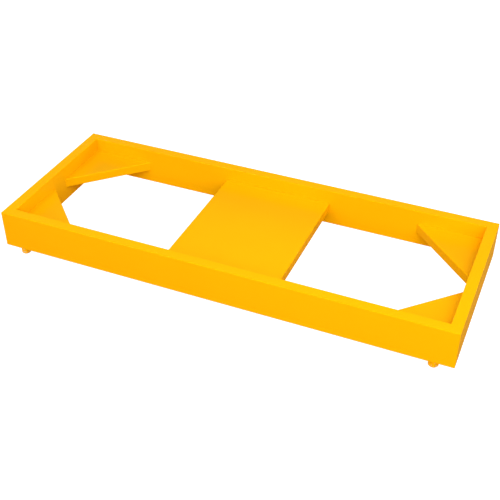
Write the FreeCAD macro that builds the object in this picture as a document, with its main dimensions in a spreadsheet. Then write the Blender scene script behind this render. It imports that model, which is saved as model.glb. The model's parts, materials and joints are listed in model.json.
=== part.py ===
"""Open base stand on levelling feet, for a safety cabinet or sump.

Four mitred box rails stand on edge round two open bays. A folded deck crosses the
middle and a folded gusset fills each corner, all at one shelf height. Under each
corner a levelling screw with a hexagonal base turns in a nut welded inside the rail.

Millimetres. +X along the length, +Y to the back, +Z up.
The origin is on the floor, under the middle of the stand.
"""

import FreeCAD, Part
import math
import os

import Sketcher

DIMENSIONS = {
    "overall_length": 1193.8,       # over the end rails
    "overall_depth": 457.2,         # over the front and back rails
    "rail_height": 101.6,
    "rail_width": 27.5,             # width of the rim seen from above
    "rail_wall": 2.0,
    "rail_corner_radius": 2.0,
    "shelf_height": 63.0,           # top of deck and gussets above the rails' underside
    "deck_width": 304.0,
    "gusset_leg": 175.5,            # along each rail, from the inner corner
    "flange_height": 25.0,          # from the sheet's top to the flange's lower edge
    "sheet_thickness": 2.0,
    "fold_radius": 0.5,             # inside the fold
    "foot_inset": 50.0,             # from the stand's end to a foot's axis
    "foot_height": 18.0,            # from the floor to the rails' underside
    "pad_thickness": 1.5,
    "pad_radius": 10.5,
    "pad_bevel": 0.5,
    "pin_radius": 4.0,
    "pin_length": 7.0,
    "pin_clearance": 0.08,
    "base_across_flats": 23.8,
    "base_bevel": 2.6,
    "stud_radius": 6.35,
    "stud_length": 44.45,           # above the hexagonal base
    "stud_bevel": 1.2,
    "thread_clearance": 0.05,
    "stud_hole_radius": 7.0,        # in the rail's lower wall
    "nut_across_flats": 19.05,
    "nut_height": 11.1,
}
SHEET = "dimensions"

doc = FreeCAD.newDocument("base_stand")
sheet = doc.addObject("Spreadsheet::Sheet", SHEET)
for row, (alias, number) in enumerate(DIMENSIONS.items(), start=1):
    sheet.set(f"A{row}", alias)
    sheet.set(f"B{row}", str(number))
    sheet.setAlias(f"B{row}", alias)
doc.recompute()


class Size:
    """A length worked out from the sheet: its number, and the formula that keeps it bound."""

    def __init__(self, number, formula):
        self.number = number
        self.formula = formula

    @staticmethod
    def of(value):
        return value if isinstance(value, Size) else Size(value, repr(value))

    def __add__(self, other):
        other = Size.of(other)
        return Size(self.number + other.number, f"({self.formula} + {other.formula})")

    def __sub__(self, other):
        other = Size.of(other)
        return Size(self.number - other.number, f"({self.formula} - {other.formula})")

    def __mul__(self, other):
        other = Size.of(other)
        return Size(self.number * other.number, f"({self.formula} * {other.formula})")

    def __truediv__(self, other):
        other = Size.of(other)
        return Size(self.number / other.number, f"({self.formula} / {other.formula})")

    def __neg__(self):
        return self * -1


def cell(alias):
    """The sheet's value for one driving dimension."""
    return Size(float(sheet.get(alias)), f"{SHEET}.{alias}")


NOTHING = Size(0.0, "0")
length = cell("overall_length")
depth = cell("overall_depth")
rail_height = cell("rail_height")
rail_width = cell("rail_width")
rail_wall = cell("rail_wall")
flange_height = cell("flange_height")
foot_height = cell("foot_height")
pad_thickness = cell("pad_thickness")
stud_radius = cell("stud_radius")
gusset_leg = cell("gusset_leg")

inside_length = length - rail_width * 2
inside_depth = depth - rail_width * 2
base_height = foot_height - pad_thickness
base_corner_radius = cell("base_across_flats") / math.sqrt(3)
thread_bore_radius = stud_radius + cell("thread_clearance")
flange_bottom = foot_height + cell("shelf_height") - flange_height


# --- sketches ---------------------------------------------------------------


def drive(thing, path, size):
    """Bind one property to the sheet."""
    thing.setExpression(path, size.formula)


def new_body(label):
    body = doc.addObject("PartDesign::Body", label)
    body.Label = label
    return body


def new_sketch(body, name, plane_role):
    """An empty sketch on one of the body's own origin planes."""
    planes = [p for p in body.Origin.OriginFeatures if p.Role == plane_role]
    sketch = body.newObject("Sketcher::SketchObject", f"{body.Label}_{name}")
    sketch.AttachmentSupport = [(planes[0], "")]
    sketch.MapMode = "FlatFace"
    return sketch


def dimension(sketch, kind, where, size):
    """One driving constraint, bound to the sheet."""
    index = sketch.addConstraint(Sketcher.Constraint(kind, *where, size.number))
    drive(sketch, f"Constraints[{index}]", size)


def pin_point(sketch, line, end, x, y):
    """Fix one end of a line at x, y from the sketch's origin."""
    for kind, size, axis in (("DistanceX", x, -2), ("DistanceY", y, -1)):
        if abs(size.number) < 1e-9:
            sketch.addConstraint(Sketcher.Constraint("PointOnObject", line, end, axis))
        elif size.number > 0:
            dimension(sketch, kind, (-1, 1, line, end), size)
        else:
            dimension(sketch, kind, (line, end, -1, 1), -size)


def step_sign(start, end):
    return (end > start) - (end < start)


def outline(sketch, corners):
    """A closed outline through corners (x, y) or (x, y, radius).

    A corner with a radius is a right angle between a level and an upright side.
    """
    corners = [(Size.of(c[0]), Size.of(c[1]), c[2] if len(c) > 2 else None) for c in corners]
    ends = []
    for i, (x, y, radius) in enumerate(corners):
        if radius is None:
            ends.append(((x, y), (x, y)))
            continue
        before, after = corners[i - 1], corners[(i + 1) % len(corners)]
        back_x = step_sign(x.number, before[0].number)
        back_y = step_sign(y.number, before[1].number)
        on_x = step_sign(x.number, after[0].number)
        on_y = step_sign(y.number, after[1].number)
        ends.append((
            (x + radius * back_x, y + radius * back_y),
            (x + radius * on_x, y + radius * on_y),
        ))
    lines = []
    for i, (_, start) in enumerate(ends):
        finish = ends[(i + 1) % len(ends)][0]
        lines.append(sketch.addGeometry(Part.LineSegment(
            FreeCAD.Vector(start[0].number, start[1].number, 0),
            FreeCAD.Vector(finish[0].number, finish[1].number, 0),
        )))
        pin_point(sketch, lines[-1], 1, *start)
        pin_point(sketch, lines[-1], 2, *finish)
    for i, (x, y, radius) in enumerate(corners):
        if radius is None:
            continue
        first = FreeCAD.Vector(ends[i][0][0].number, ends[i][0][1].number, 0)
        last = FreeCAD.Vector(ends[i][1][0].number, ends[i][1][1].number, 0)
        corner = FreeCAD.Vector(x.number, y.number, 0)
        centre = first + last - corner
        middle = centre + (corner - centre).normalize() * radius.number
        arc = sketch.addGeometry(Part.Arc(first, middle, last))
        dimension(sketch, "Radius", (arc,), radius)
        # an arc is stored anticlockwise, so its start may be either end
        starts_first = (sketch.getPoint(arc, 1) - first).Length < 1e-6
        at_first, at_last = (1, 2) if starts_first else (2, 1)
        sketch.addConstraint(Sketcher.Constraint("Coincident", arc, at_first, lines[i - 1], 2))
        sketch.addConstraint(Sketcher.Constraint("Coincident", arc, at_last, lines[i], 1))


def circle(sketch, x, y, radius):
    """A circle centred x, y from the sketch's origin."""
    centre = FreeCAD.Vector(Size.of(x).number, Size.of(y).number, 0)
    ring = sketch.addGeometry(Part.Circle(centre, FreeCAD.Vector(0, 0, 1), radius.number))
    dimension(sketch, "Radius", (ring,), radius)
    pin_point(sketch, ring, 3, Size.of(x), Size.of(y))


def hexagon(sketch, corner_radius):
    """A hexagon round the sketch's origin, with one corner on its x axis."""
    turns = [math.radians(60 * i) for i in range(6)]
    outline(sketch, [(corner_radius * math.cos(a), corner_radius * math.sin(a)) for a in turns])


# --- features ---------------------------------------------------------------


def pad(body, sketch, size, both_ways=False):
    feature = body.newObject("PartDesign::Pad", f"{sketch.Label}_pad")
    feature.Profile = sketch
    feature.SideType = "Symmetric" if both_ways else "One side"
    drive(feature, "Length", size)
    doc.recompute()
    return feature


def pocket(body, sketch, size=None):
    """Cut along the sketch's normal: size deep on its positive side, or right through."""
    before = body.Shape.Volume
    feature = body.newObject("PartDesign::Pocket", f"{sketch.Label}_cut")
    feature.Profile = sketch
    if size is None:
        feature.SideType = "Symmetric"
        feature.Type = "ThroughAll"
    else:
        feature.SideType = "One side"
        feature.Reversed = True
        drive(feature, "Length", size)
    doc.recompute()
    if not body.Shape.Volume < before - 1:
        raise RuntimeError(f"{feature.Label} removes nothing")
    return feature


def turn(body, kind, sketch):
    """A Revolution or Groove all round the sketch's upright axis."""
    feature = body.newObject(f"PartDesign::{kind}", f"{sketch.Label}_turn")
    feature.Profile = sketch
    feature.ReferenceAxis = (sketch, ["V_Axis"])
    feature.Angle = 360
    doc.recompute()
    return feature


def cut_ends_at_45(body, half_length, reach):
    """Trim both ends to slopes that start at half_length and lean in over reach."""
    sketch = new_sketch(body, "ends", "XY_Plane")
    outer = half_length + reach
    inner = half_length - reach * 2
    for side in (-1, 1):
        outline(sketch, [
            (outer * side, reach * 2),
            (outer * side, -reach),
            (inner * side, reach * 2),
        ])
    return pocket(body, sketch)


# --- sub-parts --------------------------------------------------------------


def rail(label, rail_length, stud_holes=False):
    """A box rail along X, outer face at y = 0, underside at z = 0, mitred ends."""
    body = new_body(label)
    section = new_sketch(body, "section", "YZ_Plane")
    round_edge = cell("rail_corner_radius")
    outline(section, [
        (0, 0, round_edge),
        (rail_width, 0, round_edge),
        (rail_width, rail_height, round_edge),
        (0, rail_height, round_edge),
    ])
    pad(body, section, rail_length, both_ways=True)
    bore = new_sketch(body, "bore", "YZ_Plane")
    outline(bore, [
        (rail_wall, rail_wall),
        (rail_width - rail_wall, rail_wall),
        (rail_width - rail_wall, rail_height - rail_wall),
        (rail_wall, rail_height - rail_wall),
    ])
    pocket(body, bore)
    cut_ends_at_45(body, rail_length / 2, rail_width)
    if stud_holes:
        holes = new_sketch(body, "stud_holes", "XY_Plane")
        for side in (-1, 1):
            x = (rail_length / 2 - cell("foot_inset")) * side
            circle(holes, x, rail_width / 2, cell("stud_hole_radius"))
        pocket(body, holes, rail_wall * 2)
    return body


def gusset(label):
    """A corner plate with its long side along X, folded down there, and its corner at +Y."""
    body = new_body(label)
    thickness = cell("sheet_thickness")
    outer_radius = cell("fold_radius") + thickness
    half_side = gusset_leg / math.sqrt(2)
    section = new_sketch(body, "section", "YZ_Plane")
    outline(section, [
        (0, 0),
        (0, flange_height, outer_radius),
        (half_side, flange_height),
        (half_side, flange_height - thickness),
        (thickness, flange_height - thickness, cell("fold_radius")),
        (thickness, 0),
    ])
    pad(body, section, half_side * 2, both_ways=True)
    cut_ends_at_45(body, half_side, half_side)
    return body


def deck(label):
    """The middle plate, folded down along both sides, running front to back."""
    body = new_body(label)
    thickness = cell("sheet_thickness")
    inner_radius = cell("fold_radius")
    outer_radius = inner_radius + thickness
    half_width = cell("deck_width") / 2
    inside_half = half_width - thickness
    section = new_sketch(body, "section", "XZ_Plane")
    outline(section, [
        (-half_width, 0),
        (-half_width, flange_height, outer_radius),
        (half_width, flange_height, outer_radius),
        (half_width, 0),
        (inside_half, 0),
        (inside_half, flange_height - thickness, inner_radius),
        (-inside_half, flange_height - thickness, inner_radius),
        (-inside_half, 0),
    ])
    pad(body, section, inside_depth, both_ways=True)
    return body


def weld_nut(label):
    """A plain hexagonal nut standing on z = 0."""
    body = new_body(label)
    across = new_sketch(body, "hexagon", "XY_Plane")
    hexagon(across, cell("nut_across_flats") / math.sqrt(3))
    pad(body, across, cell("nut_height"))
    bore = new_sketch(body, "bore", "XY_Plane")
    circle(bore, 0, 0, thread_bore_radius)
    pocket(body, bore)
    return body


def levelling_screw(label):
    """A stud on a hexagonal base with a bevelled foot, drilled below for the pad's pin."""
    body = new_body(label)
    base = new_sketch(body, "hexagon", "XY_Plane")
    hexagon(base, base_corner_radius)
    pad(body, base, base_height)
    bevel = new_sketch(body, "bevel", "XZ_Plane")
    bevel_size = cell("base_bevel")
    outline(bevel, [
        (base_corner_radius - bevel_size, 0),
        (base_corner_radius + bevel_size, 0),
        (base_corner_radius + bevel_size, bevel_size * 2),
    ])
    before = body.Shape.Volume
    turn(body, "Groove", bevel)
    if not body.Shape.Volume < before - 1:
        raise RuntimeError("the base's bevel removes nothing")
    stud = new_sketch(body, "stud", "XZ_Plane")
    stud_top = base_height + cell("stud_length")
    stud_bevel = cell("stud_bevel")
    outline(stud, [
        (0, base_height / 2),
        (stud_radius, base_height / 2),
        (stud_radius, stud_top - stud_bevel),
        (stud_radius - stud_bevel, stud_top),
        (0, stud_top),
    ])
    turn(body, "Revolution", stud)
    socket = new_sketch(body, "socket", "XY_Plane")
    circle(socket, 0, 0, cell("pin_radius") + cell("pin_clearance"))
    pocket(body, socket, cell("pin_length") + cell("pin_clearance") * 5)
    return body


def foot_pad(label):
    """A round glide with a pin on top that stands in the screw's socket."""
    body = new_body(label)
    profile = new_sketch(body, "profile", "XZ_Plane")
    radius = cell("pad_radius")
    bevel = cell("pad_bevel")
    pin_radius = cell("pin_radius")
    pin_top = pad_thickness + cell("pin_length")
    outline(profile, [
        (0, 0),
        (radius - bevel, 0),
        (radius, bevel),
        (radius, pad_thickness),
        (pin_radius, pad_thickness),
        (pin_radius, pin_top),
        (0, pin_top),
    ])
    turn(body, "Revolution", profile)
    return body


def place(body, x, y, z, degrees=0):
    """Stand a finished body in the assembly, turned about +Z."""
    body.Placement = FreeCAD.Placement(
        FreeCAD.Vector(x.number, y.number, z.number),
        FreeCAD.Rotation(FreeCAD.Vector(0, 0, 1), degrees),
    )
    for axis, size in (("x", x), ("y", y), ("z", z)):
        drive(body, f"Placement.Base.{axis}", size)
    return body


# --- assembly ---------------------------------------------------------------

sub_parts = [
    place(rail("front_rail", length, stud_holes=True), NOTHING, -depth / 2, foot_height),
    place(rail("back_rail", length, stud_holes=True), NOTHING, depth / 2, foot_height, 180),
    place(rail("left_end_rail", depth), -length / 2, NOTHING, foot_height, -90),
    place(rail("right_end_rail", depth), length / 2, NOTHING, foot_height, 90),
    place(deck("centre_deck"), NOTHING, NOTHING, flange_bottom),
]

CORNERS = (
    # name, side along X, side along Y, gusset's turn, turn of the hexagonal base
    ("front_left", -1, -1, 135, 11),
    ("front_right", 1, -1, -135, 42),
    ("back_left", -1, 1, 45, 15),
    ("back_right", 1, 1, -45, 5),
)
for corner, side_x, side_y, gusset_turn, base_turn in CORNERS:
    sub_parts.append(place(
        gusset(f"gusset_{corner}"),
        (inside_length - gusset_leg) * (side_x / 2),
        (inside_depth - gusset_leg) * (side_y / 2),
        flange_bottom,
        gusset_turn,
    ))
    foot_x = (length / 2 - cell("foot_inset")) * side_x
    foot_y = (depth - rail_width) * (side_y / 2)
    nut = weld_nut(f"weld_nut_{corner}")
    screw = levelling_screw(f"levelling_screw_{corner}")
    glide = foot_pad(f"foot_pad_{corner}")
    sub_parts += [
        place(nut, foot_x, foot_y, foot_height + rail_wall),
        place(screw, foot_x, foot_y, pad_thickness, base_turn),
        place(glide, foot_x, foot_y, NOTHING),
    ]

doc.recompute()

for thing in doc.Objects:
    if "Invalid" in thing.State or "Error" in thing.State:
        raise RuntimeError(f"{thing.Label}: {thing.State}")
for part in sub_parts:
    if part.Shape.isNull() or not part.Shape.isValid():
        raise RuntimeError(f"{part.Label} has no valid shape")

os.makedirs("parts", exist_ok=True)
for part in sub_parts:
    part.Shape.exportStep(f"parts/{part.Label}.step")
    print(f"{part.Label}: {part.Shape.Volume / 1000:.1f} cm3, {len(part.Shape.Solids)} solid")
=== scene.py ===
"""A yellow powder-coated steel floor stand for a safety cabinet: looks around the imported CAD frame."""

import json
import math

import bmesh
import bpy
from mathutils import Matrix, Vector


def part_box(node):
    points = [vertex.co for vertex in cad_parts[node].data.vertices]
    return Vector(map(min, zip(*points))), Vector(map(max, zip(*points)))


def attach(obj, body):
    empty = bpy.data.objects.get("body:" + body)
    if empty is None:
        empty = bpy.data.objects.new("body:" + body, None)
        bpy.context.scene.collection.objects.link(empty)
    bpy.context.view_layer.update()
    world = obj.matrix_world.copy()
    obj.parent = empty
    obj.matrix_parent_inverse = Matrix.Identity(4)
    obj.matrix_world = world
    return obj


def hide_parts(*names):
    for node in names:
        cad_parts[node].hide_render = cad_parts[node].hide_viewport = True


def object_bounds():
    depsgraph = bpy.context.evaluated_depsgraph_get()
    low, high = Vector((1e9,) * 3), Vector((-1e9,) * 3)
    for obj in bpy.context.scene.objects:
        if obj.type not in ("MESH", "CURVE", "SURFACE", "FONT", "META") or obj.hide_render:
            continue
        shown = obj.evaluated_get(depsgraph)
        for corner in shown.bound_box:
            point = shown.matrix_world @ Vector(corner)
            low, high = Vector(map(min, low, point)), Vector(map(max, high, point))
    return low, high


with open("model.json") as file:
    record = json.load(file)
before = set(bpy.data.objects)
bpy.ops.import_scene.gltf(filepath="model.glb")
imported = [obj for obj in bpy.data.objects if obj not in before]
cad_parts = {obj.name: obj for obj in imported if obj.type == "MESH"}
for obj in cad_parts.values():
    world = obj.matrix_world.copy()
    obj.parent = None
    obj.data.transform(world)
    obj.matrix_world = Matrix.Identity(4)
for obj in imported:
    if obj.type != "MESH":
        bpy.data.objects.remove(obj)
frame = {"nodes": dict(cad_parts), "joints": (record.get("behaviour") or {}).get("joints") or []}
cad_low, cad_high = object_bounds()

CORNERS = ("front_left", "front_right", "back_left", "back_right")
SHEETS = ("centre_deck",) + tuple(f"gusset_{corner}" for corner in CORNERS)

# Sizes that the nodes' boxes don't give, in metres.
RAIL_WALL = 0.002
RAIL_ROUND = 0.0014
RAIL_CORNER_ROUND = 0.0012
BORE_ROUND = 0.0003
STUD_HOLE_RADIUS = 0.007
SHEET_THICKNESS = 0.002
SHEET_EDGE_ROUND = 0.0005
SAME_POINT = 0.000001

# Angles between faces: under the first they are one flat face, and over the second they meet at an edge.
FLAT_WITHIN = math.radians(0.5)
EDGE_OVER = math.radians(30)
ARC_STEPS = 5

# A weld bead: its leg, the spacing of its ripples and how deep its root is sunk in the joint, in metres.
WELD_LEG = 0.0035
RIPPLE_SPACING = 0.0018
WELD_SINK = 0.0004
# How far it bulges and how blunt its ends are, as shares of its leg, and the ripples' share of the bulge.
WELD_CROWN = 0.30
WELD_EDGE_RIPPLE = 0.04
WELD_BLUNT_END = 0.12
WELD_CROWN_RIPPLE = 0.25
# Each ripple is an arc, whose ends lie this many spacings behind its middle.
RIPPLE_ARC = 1.1
WELD_STEPS = 6
LOOPS_PER_RIPPLE = 5

# Where the beads are: lengths and margins in metres, and shares of half the deck or of a gusset's leg.
DECK_STITCH = 0.045
DECK_STITCH_SPAN = 0.94
GUSSET_STITCH = 0.04
GUSSET_STITCH_FROM = 0.08
GUSSET_STITCH_TO = 0.88
FLANGE_WELD_ABOVE_FOOT = 0.002
FLANGE_WELD_UNDER_SHELF = 0.004
CORNER_WELD_MARGIN = 0.003
GUSSET_FLANGE_WELD_LEG = WELD_LEG * 0.8

# The levelling feet. The thread's crest and flank are shares of half its pitch.
THREAD_PITCH = 0.0254 / 13
THREAD_DEPTH = 0.0011
THREAD_CREST = 0.12
THREAD_FLANK = 0.70
THREAD_ROWS_PER_TURN = 9
BASE_BEVEL = 0.0026
BASE_BEVEL_STEPS = 6
BASE_TOP_ROUND = 0.0004
BASE_CORNER_ROUND = 0.0006
BASE_CORNER_KEPT = 0.35
PIN_CLEARANCE = 0.00008
RING_POINTS = 72

# The stage: a grey floor and dome that glow white to the camera, and a tan floor that only bounces light.
STAGE_RADIUS = 9.0
STAGE_GLOW = 0.97
STAGE_GREY = (0.35, 0.35, 0.35)
BOUNCE_TAN = (0.42, 0.24, 0.05)
FLOOR_GAP = 0.001
WORLD_LIGHT = 0.12
KEY_DISTANCE = 2.8
PANEL_DISTANCE = 3.2

# The camera stands in front, to the right and above, and looks down at the stand.
CAMERA_PLACE = Vector((0.7330, -1.7189, 1.3992))
CAMERA_TURN = math.radians(22.955)
CAMERA_TILT = math.radians(53.523)
CAMERA_ROLL = math.radians(0.14)
LENS_MM = 63.657
SENSOR_MM = 36.0


# --- materials ---------------------------------------------------------------

# The yellow coat tints what it mirrors.
COAT_GLARE = (1.0, 0.6, 0.05, 1.0)


class Nodes:
    """A material's node tree, with short calls to add nodes and links."""

    def __init__(self, name):
        self.material = bpy.data.materials.new(name)
        self.material.use_nodes = True
        self.tree = self.material.node_tree
        self.tree.nodes.clear()
        output = self.add("ShaderNodeOutputMaterial")
        self.shader = self.add("ShaderNodeBsdfPrincipled")
        self.link(self.shader, "BSDF", output, "Surface")
        coordinates = self.add("ShaderNodeTexCoord")
        self.place = coordinates.outputs["Object"]

    def add(self, kind, **inputs):
        node = self.tree.nodes.new(kind)
        for name, value in inputs.items():
            node.inputs[name.replace("_", " ")].default_value = value
        return node

    def link(self, source, output, target, entry):
        self.tree.links.new(source.outputs[output], target.inputs[entry])

    def noise(self, scale, detail=3.0, roughness=0.5):
        node = self.add("ShaderNodeTexNoise", Scale=scale, Detail=detail, Roughness=roughness)
        self.tree.links.new(self.place, node.inputs["Vector"])
        return node

    def spread(self, source, output, low, high, to_low, to_high):
        """The source's values from low to high, spread over to_low to to_high."""
        node = self.add("ShaderNodeMapRange")
        self.link(source, output, node, "Value")
        node.inputs["From Min"].default_value = low
        node.inputs["From Max"].default_value = high
        node.inputs["To Min"].default_value = to_low
        node.inputs["To Max"].default_value = to_high
        return node

    def bump(self, source, output, height, strength=1.0, below=None):
        node = self.add("ShaderNodeBump", Strength=strength, Distance=height)
        self.link(source, output, node, "Height")
        if below is not None:
            self.link(below, "Normal", node, "Normal")
        return node

    def colour(self, source, output, low, high):
        """Base colour that follows the source. low and high are each a source value and its colour."""
        ramp = self.add("ShaderNodeValToRGB")
        for element, (position, rgb) in zip(ramp.color_ramp.elements, (low, high)):
            element.position = position
            element.color = (*rgb, 1.0)
        self.link(source, output, ramp, "Fac")
        self.link(ramp, "Color", self.shader, "Base Color")

    def mottle(self, entry, scale, to_low, to_high, detail=3.0):
        """One of the shader's entries, varied by noise from to_low to to_high."""
        spread = self.spread(self.noise(scale, detail=detail), "Fac", 0.3, 0.7, to_low, to_high)
        self.link(spread, "Result", self.shader, entry)

    def relief(self, bump):
        """Gives the surface a bump's relief."""
        self.link(bump, "Normal", self.shader, "Normal")


def powder_coat():
    """Glossy safety-yellow powder coat: orange peel, a little waviness and slight colour drift."""
    nodes = Nodes("glossy_yellow_coat")
    drift = nodes.noise(5.0, detail=4.0)
    nodes.colour(drift, "Fac", (0.3, (0.88, 0.415, 0.0006)), (0.7, (0.90, 0.43, 0.0010)))
    nodes.mottle("Roughness", scale=60.0, detail=4.0, to_low=0.16, to_high=0.24)
    peel = nodes.bump(nodes.noise(330.0, detail=1.5), "Fac", height=0.00008, strength=0.55)
    grain = nodes.bump(nodes.noise(1500.0, detail=2.0), "Fac", height=0.00001, strength=0.5, below=peel)
    nodes.relief(grain)
    nodes.shader.inputs["Specular IOR Level"].default_value = 0.4
    nodes.shader.inputs["Specular Tint"].default_value = COAT_GLARE
    return nodes.material


def bare_steel():
    """Zinc-plated steel: a satin grey with a faint bluish and straw mottle and fine marks."""
    nodes = Nodes("zinc_plated_steel")
    tarnish = nodes.noise(240.0, detail=5.0)
    nodes.colour(tarnish, "Fac", (0.35, (0.60, 0.62, 0.66)), (0.68, (0.78, 0.77, 0.72)))
    nodes.shader.inputs["Metallic"].default_value = 0.6
    nodes.mottle("Roughness", scale=900.0, to_low=0.22, to_high=0.42)
    nodes.relief(nodes.bump(nodes.noise(2500.0, detail=2.0), "Fac", height=0.00001, strength=0.6))
    return nodes.material


def worn_powder_coat():
    """Thin powder coat on the zinc-plated bases: worn through in patches where a spanner has gripped."""
    nodes = Nodes("worn_yellow_coat")
    patches = nodes.noise(120.0, detail=6.0, roughness=0.6)
    patches.noise_dimensions = "4D"
    patches.inputs["W"].default_value = 5.4
    wear = nodes.spread(patches, "Fac", 0.53, 0.60, 0.0, 1.0)
    nodes.colour(wear, "Result", (0.0, (0.88, 0.42, 0.001)), (1.0, (0.66, 0.62, 0.44)))
    metal = nodes.spread(wear, "Result", 0.0, 1.0, 0.0, 0.45)
    nodes.link(metal, "Result", nodes.shader, "Metallic")
    gloss = nodes.spread(wear, "Result", 0.0, 1.0, 0.26, 0.40)
    nodes.link(gloss, "Result", nodes.shader, "Roughness")
    edge = nodes.bump(wear, "Result", height=0.00006, strength=0.5)
    peel = nodes.bump(nodes.noise(500.0, detail=2.0), "Fac", height=0.00006, strength=0.5, below=edge)
    nodes.relief(peel)
    nodes.shader.inputs["Specular Tint"].default_value = COAT_GLARE
    return nodes.material


def glide_plastic():
    """Off-white moulded nylon with a faint mottle, a fine matt grain and scuffs."""
    nodes = Nodes("moulded_nylon")
    tint = nodes.noise(160.0, detail=4.0)
    nodes.colour(tint, "Fac", (0.32, (0.62, 0.60, 0.53)), (0.7, (0.74, 0.72, 0.66)))
    nodes.mottle("Roughness", scale=700.0, to_low=0.45, to_high=0.62)
    nodes.relief(nodes.bump(nodes.noise(2200.0, detail=2.0), "Fac", height=0.00002, strength=0.5))
    return nodes.material


def paint(thing, material):
    thing.data.materials.clear()
    thing.data.materials.append(material)


# --- mesh helpers ------------------------------------------------------------


def piece(name, mesh, body, materials, replaces=()):
    """A finished mesh as a visible piece that rides on a CAD body, shaded smooth with its flat faces flat."""
    shape = bmesh.new()
    shape.from_mesh(mesh)
    bmesh.ops.recalc_face_normals(shape, faces=shape.faces)
    for face in shape.faces:
        face.smooth = True
    shape.to_mesh(mesh)
    shape.free()
    thing = bpy.data.objects.new(name, mesh)
    bpy.context.scene.collection.objects.link(thing)
    for material in materials:
        mesh.materials.append(material)
    even = thing.modifiers.new("even_normals", "WEIGHTED_NORMAL")
    even.keep_sharp = True
    even.weight = 90
    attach(thing, body)
    if replaces:
        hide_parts(*replaces)


def stack(loops, closed_ends=True):
    """A mesh through a stack of loops that all have the same number of points."""
    count = len(loops[0])
    points = [point for loop in loops for point in loop]
    faces = []
    for row in range(len(loops) - 1):
        for i in range(count):
            here = row * count + i
            beside = row * count + (i + 1) % count
            faces.append((here, beside, beside + count, here + count))
    if closed_ends:
        faces.append(tuple(range(count)))
        faces.append(tuple(range(len(points) - count, len(points))))
    mesh = bpy.data.meshes.new("stack")
    mesh.from_pydata(points, [], faces)
    return mesh


def merged(mesh):
    """The mesh with its points joined up where they lie in one place."""
    shape = bmesh.new()
    shape.from_mesh(mesh)
    bmesh.ops.remove_doubles(shape, verts=shape.verts, dist=SAME_POINT)
    bmesh.ops.dissolve_degenerate(shape, edges=shape.edges, dist=SAME_POINT)
    shape.to_mesh(mesh)
    shape.free()
    return mesh


def joined(meshes):
    """Several meshes as one."""
    shape = bmesh.new()
    for mesh in meshes:
        shape.from_mesh(mesh)
    whole = bpy.data.meshes.new("joined")
    shape.to_mesh(whole)
    shape.free()
    return whole


def softened(node, edge_round):
    """A CAD node's mesh with its flat faces made whole and its sharp edges rounded off."""
    shape = bmesh.new()
    shape.from_mesh(frame["nodes"][node].data)
    bmesh.ops.remove_doubles(shape, verts=shape.verts, dist=SAME_POINT)
    bmesh.ops.dissolve_limit(shape, angle_limit=FLAT_WITHIN, verts=shape.verts, edges=shape.edges)
    edges = [edge for edge in shape.edges if edge.is_manifold and edge.calc_face_angle() > EDGE_OVER]
    bmesh.ops.bevel(
        shape, geom=edges, offset=edge_round, offset_type="OFFSET", segments=3, profile=0.5,
        affect="EDGES", clamp_overlap=True,
    )
    mesh = bpy.data.meshes.new(node)
    shape.to_mesh(mesh)
    shape.free()
    return mesh


def bored(mesh, centre, radius, half_depth):
    """The mesh with a round hole along Z cut at the centre."""
    drill_mesh = bpy.data.meshes.new("drill")
    drill_shape = bmesh.new()
    bmesh.ops.create_cone(
        drill_shape, cap_ends=True, segments=64, radius1=radius, radius2=radius, depth=half_depth * 2,
        matrix=Matrix.Translation(centre),
    )
    drill_shape.to_mesh(drill_mesh)
    drill_shape.free()
    drill = bpy.data.objects.new("drill", drill_mesh)
    blank = bpy.data.objects.new("blank", mesh)
    for thing in (drill, blank):
        bpy.context.scene.collection.objects.link(thing)
    cut = blank.modifiers.new("cut", "BOOLEAN")
    cut.object = drill
    cut.solver = "EXACT"
    cut.operation = "DIFFERENCE"
    view = bpy.context.evaluated_depsgraph_get()
    result = bpy.data.meshes.new_from_object(blank.evaluated_get(view))
    for thing in (drill, blank):
        bpy.data.objects.remove(thing)
    return result


# --- the frame's rails and sheets --------------------------------------------


def rounded_rectangle(width, height, radius):
    """Points (u, v) round a rectangle from (0, 0) to (width, height), its corners as arcs."""
    points = []
    corners = ((width, 0, -90), (width, height, 0), (0, height, 90), (0, 0, 180))
    for u, v, start in corners:
        centre_u = min(max(u, radius), width - radius)
        centre_v = min(max(v, radius), height - radius)
        for step in range(ARC_STEPS + 1):
            angle = math.radians(start + 90 * step / ARC_STEPS)
            points.append((centre_u + radius * math.cos(angle), centre_v + radius * math.sin(angle)))
    return points


def box_rail(node, out, along):
    """A mitred box rail. out points away from the stand, and along runs down the rail's length."""
    low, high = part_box(node)
    centre = (low + high) / 2
    size = high - low
    half_length = abs(size.dot(along)) / 2
    width = abs(size.dot(out))
    outer = Vector((centre.x, centre.y, low.z)) + out * (width / 2)

    def place(s, u, v):
        return outer + along * s - out * u + Vector((0, 0, v))

    section = rounded_rectangle(width, size.z, RAIL_ROUND)
    inner_width = width - RAIL_WALL * 2
    inner_height = size.z - RAIL_WALL * 2
    bore = rounded_rectangle(inner_width, inner_height, BORE_ROUND)
    bore = [(u + RAIL_WALL, v + RAIL_WALL) for u, v in bore]
    # Along the outside from mitre to mitre, rounded at the stand's outer corners, then back through the bore.
    loops = []
    for side, angles in ((-1, (45, 30, 15, 0)), (1, (0, 15, 30, 45))):
        for degrees in angles:
            angle = math.radians(degrees)
            loop = []
            for u, v in section:
                corner_round = max(RAIL_CORNER_ROUND - u, 0.0)
                s = half_length - u - corner_round * (1 - math.sin(angle))
                loop.append(place(side * s, u + corner_round * (1 - math.cos(angle)), v))
            loops.append(loop)
    for side in (1, -1):
        loops.append([place(side * (half_length - u), u, v) for u, v in bore])
    loops.append(loops[0])
    return merged(stack(loops, closed_ends=False))


# --- welds -------------------------------------------------------------------


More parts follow.
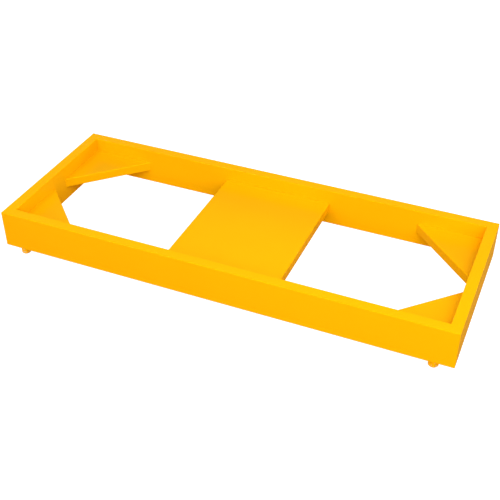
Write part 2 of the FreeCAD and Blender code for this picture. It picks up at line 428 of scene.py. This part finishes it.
def weld_bead(start, end, first, second, leg):
    """A rippled fillet bead from start to end, between surfaces that run off along first and second."""
    run = end - start
    count = round(run.length / (RIPPLE_SPACING / LOOPS_PER_RIPPLE))
    loops = []
    for i in range(count + 1):
        travelled = run.length * i / count
        from_end = min(travelled, run.length - travelled)
        fade = min(1.0, (from_end + leg * WELD_BLUNT_END) / leg)
        size = leg * math.sqrt(fade * (2 - fade))
        centre = start + run * (i / count)
        loop = [centre - (first + second) * (WELD_SINK / 2)]
        for j in range(WELD_STEPS + 1):
            t = j / WELD_STEPS
            phase = travelled / RIPPLE_SPACING + RIPPLE_ARC * (2 * t - 1) ** 2
            ripple = abs(math.sin(math.pi * phase))
            crown = WELD_CROWN * math.sin(math.pi * t) * (1 - WELD_CROWN_RIPPLE * (1 - ripple))
            bulge = 1 + crown + WELD_EDGE_RIPPLE * ripple
            loop.append(centre + (first * (1 - t) + second * t) * (size * bulge))
        loops.append(loop)
    return stack(loops)


def stitches(start, end, first, second, leg, count, length):
    """Evenly spread weld beads of one length along a joint."""
    run = end - start
    along = run.normalized()
    gap = (run.length - count * length) / (count + 1)
    for i in range(count):
        begin = start + along * (gap * (i + 1) + length * i)
        yield weld_bead(begin, begin + along * length, first, second, leg)


# --- feet --------------------------------------------------------------------


def axis_of(node):
    low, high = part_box(node)
    return (low + high) / 2


def reach_above(node, height):
    """The greatest distance from the node's own axis among its points above a height."""
    centre = axis_of(node)
    points = [vertex.co for vertex in frame["nodes"][node].data.vertices if vertex.co.z > height]
    return max(math.hypot(point.x - centre.x, point.y - centre.y) for point in points)


def turn_of(node):
    """The direction from the node's axis to its farthest point: a corner of a hexagonal base."""
    centre = axis_of(node)
    points = [vertex.co - centre for vertex in frame["nodes"][node].data.vertices]
    corner = max(points, key=lambda point: math.hypot(point.x, point.y))
    return math.atan2(corner.y, corner.x)


def hexagon_reach(angle, corner_radius):
    """Distance from the middle of a hexagon with rounded corners to its edge, at an angle from a corner."""
    sixth = math.pi / 3
    flat = corner_radius * math.cos(sixth / 2)
    off_middle = (angle % sixth) - sixth / 2
    straight = flat / math.cos(off_middle)
    blend = corner_radius - BASE_CORNER_ROUND
    return blend + (straight - blend) * BASE_CORNER_KEPT if straight > blend else straight


def levelling_screw(corner):
    """A threaded stud on a hexagonal base with a bevelled foot, and a socket below for the pad's pin."""
    node = f"levelling_screw_{corner}"
    low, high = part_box(node)
    centre = axis_of(node)
    base_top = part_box("front_rail")[0].z
    corner_radius = reach_above(node, low.z)
    stud_radius = reach_above(node, base_top + THREAD_PITCH)
    pad_node = f"foot_pad_{corner}"
    pin_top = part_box(pad_node)[1].z
    pin_radius = reach_above(pad_node, low.z + PIN_CLEARANCE) + PIN_CLEARANCE
    turn = turn_of(node)

    def ring(height, reach):
        loop = []
        for i in range(RING_POINTS):
            angle = 2 * math.pi * i / RING_POINTS
            radius = reach(angle)
            x = centre.x + radius * math.cos(angle + turn)
            y = centre.y + radius * math.sin(angle + turn)
            loop.append((x, y, height))
        return loop

    def base(inset, largest):
        """The hexagon's outline, drawn in by the inset and turned down to the largest radius."""
        return lambda angle: min(hexagon_reach(angle, corner_radius - inset), largest)

    def thread(height):
        """The stud's outline at a height: a helical thread, chamfered at its tip."""
        def reach(angle):
            turns = (height - base_top) / THREAD_PITCH - (angle + turn) / (2 * math.pi)
            off_crest = abs(2 * (turns % 1.0) - 1)
            sunk = min(max((off_crest - THREAD_CREST) / THREAD_FLANK, 0.0), 1.0)
            lead_in = min(1.0, (height - base_top) / THREAD_PITCH)
            radius = stud_radius - THREAD_DEPTH * sunk * lead_in
            return min(radius, stud_radius - THREAD_DEPTH + (high.z - height))
        return reach

    socket_roof = pin_top + PIN_CLEARANCE
    loops = [ring(socket_roof, lambda angle: pin_radius), ring(low.z, lambda angle: pin_radius)]
    for step in range(BASE_BEVEL_STEPS + 1):
        rise = BASE_BEVEL * step / BASE_BEVEL_STEPS
        loops.append(ring(low.z + rise, base(0.0, corner_radius - BASE_BEVEL + rise)))
    for inward, downward in ((0.0, 1.0), (0.3, 0.3), (1.0, 0.0)):
        inset = inward * BASE_TOP_ROUND
        loops.append(ring(base_top - downward * BASE_TOP_ROUND, base(inset, corner_radius)))
    painted_faces = (len(loops) - 1) * RING_POINTS
    rows = round((high.z - base_top) / (THREAD_PITCH / THREAD_ROWS_PER_TURN))
    for row in range(rows + 1):
        height = base_top + (high.z - base_top) * row / rows
        loops.append(ring(height, thread(height)))
    mesh = stack(loops)
    socket_roof_face = len(mesh.polygons) - 2
    for face in mesh.polygons:
        painted = face.index < painted_faces or face.index == socket_roof_face
        face.material_index = 0 if painted else 1
    piece(
        f"levelling_screw_{corner}_threaded", mesh, f"screw_{corner}",
        (worn_paint, steel), replaces=(node,),
    )


def foot_pad(corner):
    """A moulded glide: a thin round sole with a shallow ring, and the pin that stands in the screw."""
    node = f"foot_pad_{corner}"
    low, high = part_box(node)
    centre = axis_of(node)
    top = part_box(f"levelling_screw_{corner}")[0].z
    radius = (high.x - low.x) / 2
    pin = reach_above(node, top + PIN_CLEARANCE)
    lip = (top - low.z) / 4
    sole = [
        (radius * 0.15, low.z), (radius * 0.60, low.z), (radius * 0.64, low.z + lip),
        (radius * 0.74, low.z + lip), (radius * 0.78, low.z),
    ]
    rim = [
        (radius - lip * 1.2, low.z), (radius - lip * 0.35, low.z + lip * 0.35), (radius, low.z + lip * 1.2),
        (radius, top - lip * 0.8), (radius - lip * 0.25, top - lip * 0.25), (radius - lip * 0.8, top),
    ]
    stem = [
        (pin + lip, top), (pin + lip * 0.3, top + lip * 0.3), (pin, top + lip),
        (pin, high.z - lip), (pin - lip * 0.3, high.z - lip * 0.3), (pin - lip, high.z), (pin * 0.2, high.z),
    ]
    turns = [2 * math.pi * i / RING_POINTS for i in range(RING_POINTS)]
    loops = []
    for reach, height in sole + rim + stem:
        loops.append([
            (centre.x + reach * math.cos(turn), centre.y + reach * math.sin(turn), height) for turn in turns
        ])
    piece(
        f"foot_pad_{corner}_moulded", stack(loops), f"pad_{corner}",
        (plastic,), replaces=(node,),
    )


# --- stage, light and camera -------------------------------------------------


def stage_piece(name, mesh, colour, glow, seen):
    """Something round the stand that isn't part of it. The camera sees either this or only its light."""
    thing = bpy.data.objects.new(name, mesh)
    bpy.context.scene.collection.objects.link(thing)
    nodes = Nodes(name)
    shader = nodes.shader
    shader.inputs["Base Color"].default_value = (*colour, 1.0)
    shader.inputs["Roughness"].default_value = 0.9
    shader.inputs["Specular IOR Level"].default_value = 0.0
    shader.inputs["Emission Color"].default_value = (1.0, 1.0, 1.0, 1.0)
    shader.inputs["Emission Strength"].default_value = glow
    mesh.materials.append(nodes.material)
    thing.visible_camera = seen
    thing.visible_diffuse = not seen
    thing.visible_glossy = not seen
    thing.visible_shadow = not seen


def floor_mesh(height):
    mesh = bpy.data.meshes.new("floor")
    shape = bmesh.new()
    bmesh.ops.create_circle(
        shape, cap_ends=True, segments=96, radius=STAGE_RADIUS, matrix=Matrix.Translation((0, 0, height)),
    )
    shape.to_mesh(mesh)
    shape.free()
    return mesh


def dome_mesh(height):
    mesh = bpy.data.meshes.new("dome")
    shape = bmesh.new()
    bmesh.ops.create_uvsphere(
        shape, u_segments=64, v_segments=32, radius=STAGE_RADIUS, matrix=Matrix.Translation((0, 0, height)),
    )
    shape.to_mesh(mesh)
    shape.free()
    return mesh


def panel(name, azimuth, elevation, size, power, distance=PANEL_DISTANCE, mirrored=False):
    """A square soft light that faces the stand. Azimuth 0 is in front of it and 90 to its right.

    Only a mirrored one shows in the paint. The rest light it and leave no glare.
    """
    data = bpy.data.lights.new(name, "AREA")
    data.shape = "SQUARE"
    data.size = size
    data.energy = power
    lamp = bpy.data.objects.new(name, data)
    bpy.context.scene.collection.objects.link(lamp)
    turn = math.radians(azimuth)
    rise = math.radians(elevation)
    flat = math.cos(rise)
    towards = Vector((math.sin(turn) * flat, -math.cos(turn) * flat, math.sin(rise)))
    lamp.location = Vector((0.0, 0.0, cad_high.z / 2)) + towards * distance
    lamp.rotation_mode = "QUATERNION"
    lamp.rotation_quaternion = (-towards).to_track_quat("-Z", "Y")
    lamp.visible_camera = False
    lamp.visible_glossy = mirrored


def studio():
    """One small key light high on the front left, and wide soft panels all round, most to the front right."""
    world = bpy.data.worlds.new("studio")
    bpy.context.scene.world = world
    world.use_nodes = True
    background = world.node_tree.nodes["Background"]
    background.inputs["Color"].default_value = (1.0, 1.0, 1.0, 1.0)
    background.inputs["Strength"].default_value = WORLD_LIGHT
    panel("key", azimuth=-44, elevation=50, size=0.35, power=9.6, distance=KEY_DISTANCE, mirrored=True)
    panel("front_right_high", azimuth=45, elevation=60, size=2.2, power=62)
    panel("front", azimuth=0, elevation=30, size=2.6, power=41)
    panel("front_left", azimuth=-45, elevation=30, size=2.6, power=20)
    panel("front_right", azimuth=45, elevation=30, size=2.6, power=56)
    panel("right", azimuth=90, elevation=30, size=2.6, power=5)
    panel("back_right_low", azimuth=140, elevation=10, size=1.0, power=35)
    panel("back_low", azimuth=180, elevation=10, size=1.0, power=20)
    panel("back_left_low", azimuth=220, elevation=10, size=1.0, power=40)
    panel("left_low", azimuth=270, elevation=10, size=1.0, power=20)


def camera():
    data = bpy.data.cameras.new("camera")
    data.lens = LENS_MM
    data.sensor_width = SENSOR_MM
    thing = bpy.data.objects.new("camera", data)
    bpy.context.scene.collection.objects.link(thing)
    turn = Matrix.Rotation(CAMERA_TURN, 4, "Z")
    tilt = Matrix.Rotation(CAMERA_TILT, 4, "X")
    roll = Matrix.Rotation(CAMERA_ROLL, 4, "Z")
    thing.matrix_world = Matrix.Translation(CAMERA_PLACE) @ turn @ tilt @ roll
    bpy.context.scene.camera = thing


# --- assembly ----------------------------------------------------------------

yellow = powder_coat()
steel = bare_steel()
worn_paint = worn_powder_coat()
plastic = glide_plastic()

X, Y, Z = Vector((1, 0, 0)), Vector((0, 1, 0)), Vector((0, 0, 1))
# Each rail's way out from the stand, and its way along.
RAIL_DIRECTIONS = {
    "front_rail": (-Y, X),
    "back_rail": (Y, X),
    "left_end_rail": (-X, Y),
    "right_end_rail": (X, Y),
}
INSIDE_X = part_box("right_end_rail")[0].x
INSIDE_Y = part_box("back_rail")[0].y
RAIL_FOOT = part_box("front_rail")[0].z
SHEET_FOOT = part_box("centre_deck")[0].z
SHEET_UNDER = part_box("centre_deck")[1].z - SHEET_THICKNESS


def frame_piece(name, mesh, replaces=()):
    piece(name, mesh, "frame", (yellow,), replaces)


def rail(node):
    """One rail. The long ones have a hole in their lower wall for each levelling stud."""
    out, along = RAIL_DIRECTIONS[node]
    mesh = box_rail(node, out, along)
    for corner in CORNERS:
        if node == f"{corner.split('_')[0]}_rail":
            hole = axis_of(f"levelling_screw_{corner}")
            hole.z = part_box(node)[0].z
            mesh = bored(mesh, hole, STUD_HOLE_RADIUS, RAIL_WALL * 2)
    frame_piece(f"{node}_tube", mesh, (node,))


def upright_bead(foot, first, second, leg):
    """A bead up a flange's end, from just above the flange's lower edge to just under the shelf."""
    return weld_bead(
        foot + Z * (SHEET_FOOT + FLANGE_WELD_ABOVE_FOOT), foot + Z * (SHEET_UNDER - FLANGE_WELD_UNDER_SHELF),
        first, second, leg,
    )


def deck_welds():
    """Stitches under the deck along both long rails, and a bead up the inside of each flange's ends."""
    half_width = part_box("centre_deck")[1].x - SHEET_THICKNESS
    beads = []
    for side in (-1, 1):
        wall = Y * (INSIDE_Y * side)
        ends = [wall + X * (half_width * DECK_STITCH_SPAN * end) + Z * SHEET_UNDER for end in (-1, 1)]
        beads += stitches(*ends, Y * -side, -Z, WELD_LEG, count=3, length=DECK_STITCH)
        for end in (-1, 1):
            beads.append(upright_bead(wall + X * (half_width * end), X * -end, Y * -side, WELD_LEG))
    frame_piece("centre_deck_welds", joined(beads))


def gusset_welds(corner):
    """Stitches under a gusset, a bead up each end of its flange, and one up the rails' inner corner."""
    side_x = 1 if corner.endswith("right") else -1
    side_y = 1 if corner.startswith("back") else -1
    low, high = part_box(f"gusset_{corner}")
    leg = high.x - low.x
    inward_x, inward_y = X * -side_x, Y * -side_y
    inner_corner = X * (INSIDE_X * side_x) + Y * (INSIDE_Y * side_y)
    beads = []
    for inward, across in ((inward_x, inward_y), (inward_y, inward_x)):
        near = inner_corner + inward * (leg * GUSSET_STITCH_FROM) + Z * SHEET_UNDER
        far = inner_corner + inward * (leg * GUSSET_STITCH_TO) + Z * SHEET_UNDER
        beads += stitches(near, far, across, -Z, WELD_LEG, count=2, length=GUSSET_STITCH)
        flange_end = inner_corner + inward * (leg - SHEET_THICKNESS * math.sqrt(2))
        slant = (across - inward).normalized()
        beads.append(upright_bead(flange_end, -inward, slant, GUSSET_FLANGE_WELD_LEG))
    bottom = inner_corner + Z * (RAIL_FOOT + CORNER_WELD_MARGIN)
    top = inner_corner + Z * (SHEET_UNDER - CORNER_WELD_MARGIN)
    beads.append(weld_bead(bottom, top, inward_x, inward_y, WELD_LEG))
    frame_piece(f"gusset_{corner}_welds", joined(beads))


for node in RAIL_DIRECTIONS:
    rail(node)
for node in SHEETS:
    frame_piece(f"{node}_plate", softened(node, SHEET_EDGE_ROUND), (node,))
deck_welds()
for corner in CORNERS:
    gusset_welds(corner)
    paint(frame["nodes"][f"weld_nut_{corner}"], steel)
    levelling_screw(corner)
    foot_pad(corner)

travel = max(joint["range_m"][1] for joint in frame["joints"] if joint["type"] == "slide")
floor_height = -travel - FLOOR_GAP
stage_piece("floor", floor_mesh(floor_height), STAGE_GREY, STAGE_GLOW, seen=True)
stage_piece("backdrop", dome_mesh(floor_height), STAGE_GREY, STAGE_GLOW, seen=True)
stage_piece("floor_bounce", floor_mesh(floor_height - FLOOR_GAP), BOUNCE_TAN, 0.0, seen=False)
studio()
camera()
bpy.context.scene.view_settings.view_transform = "Standard"
